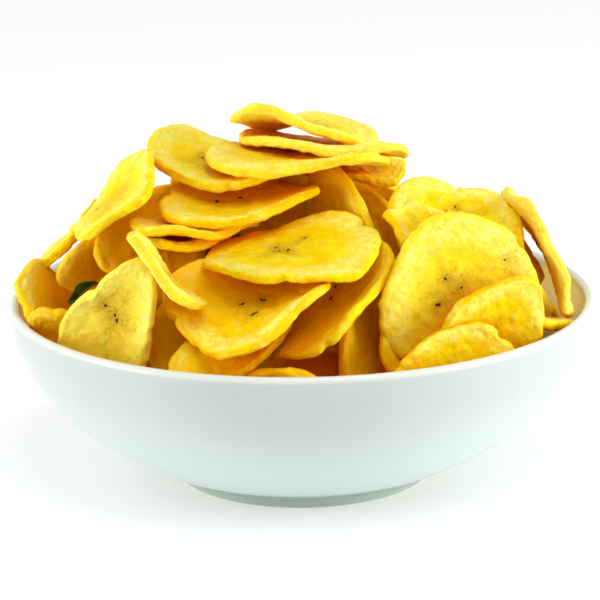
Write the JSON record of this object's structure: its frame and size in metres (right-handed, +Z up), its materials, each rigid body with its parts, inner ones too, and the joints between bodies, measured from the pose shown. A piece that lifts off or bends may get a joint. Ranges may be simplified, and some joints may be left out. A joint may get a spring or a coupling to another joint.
{
  "type": "banana chips in a bowl",
  "caption": "Heap of thin fried banana slices, crowned above the rim of a small round white porcelain bowl with a foot ring.",
  "frame": {"origin": "centre of the foot ring's lower face, on the bowl's axis", "axes": "+Z up along the bowl's axis, -Y to the side that the picture shows, +X to its right"},
  "size_m": [0.16, 0.16, 0.1049],
  "materials": {
    "porcelain": "glossy white glaze with a faint cool tint",
    "fried_banana": "golden yellow fried fruit with a light oily sheen",
    "fried_leaf": "dark green fried leaf"
  },
  "bodies": {
    "root": {"bowl": "porcelain", "chips": "fried_banana", "leaf": "fried_leaf"}
  },
  "joints": []
}
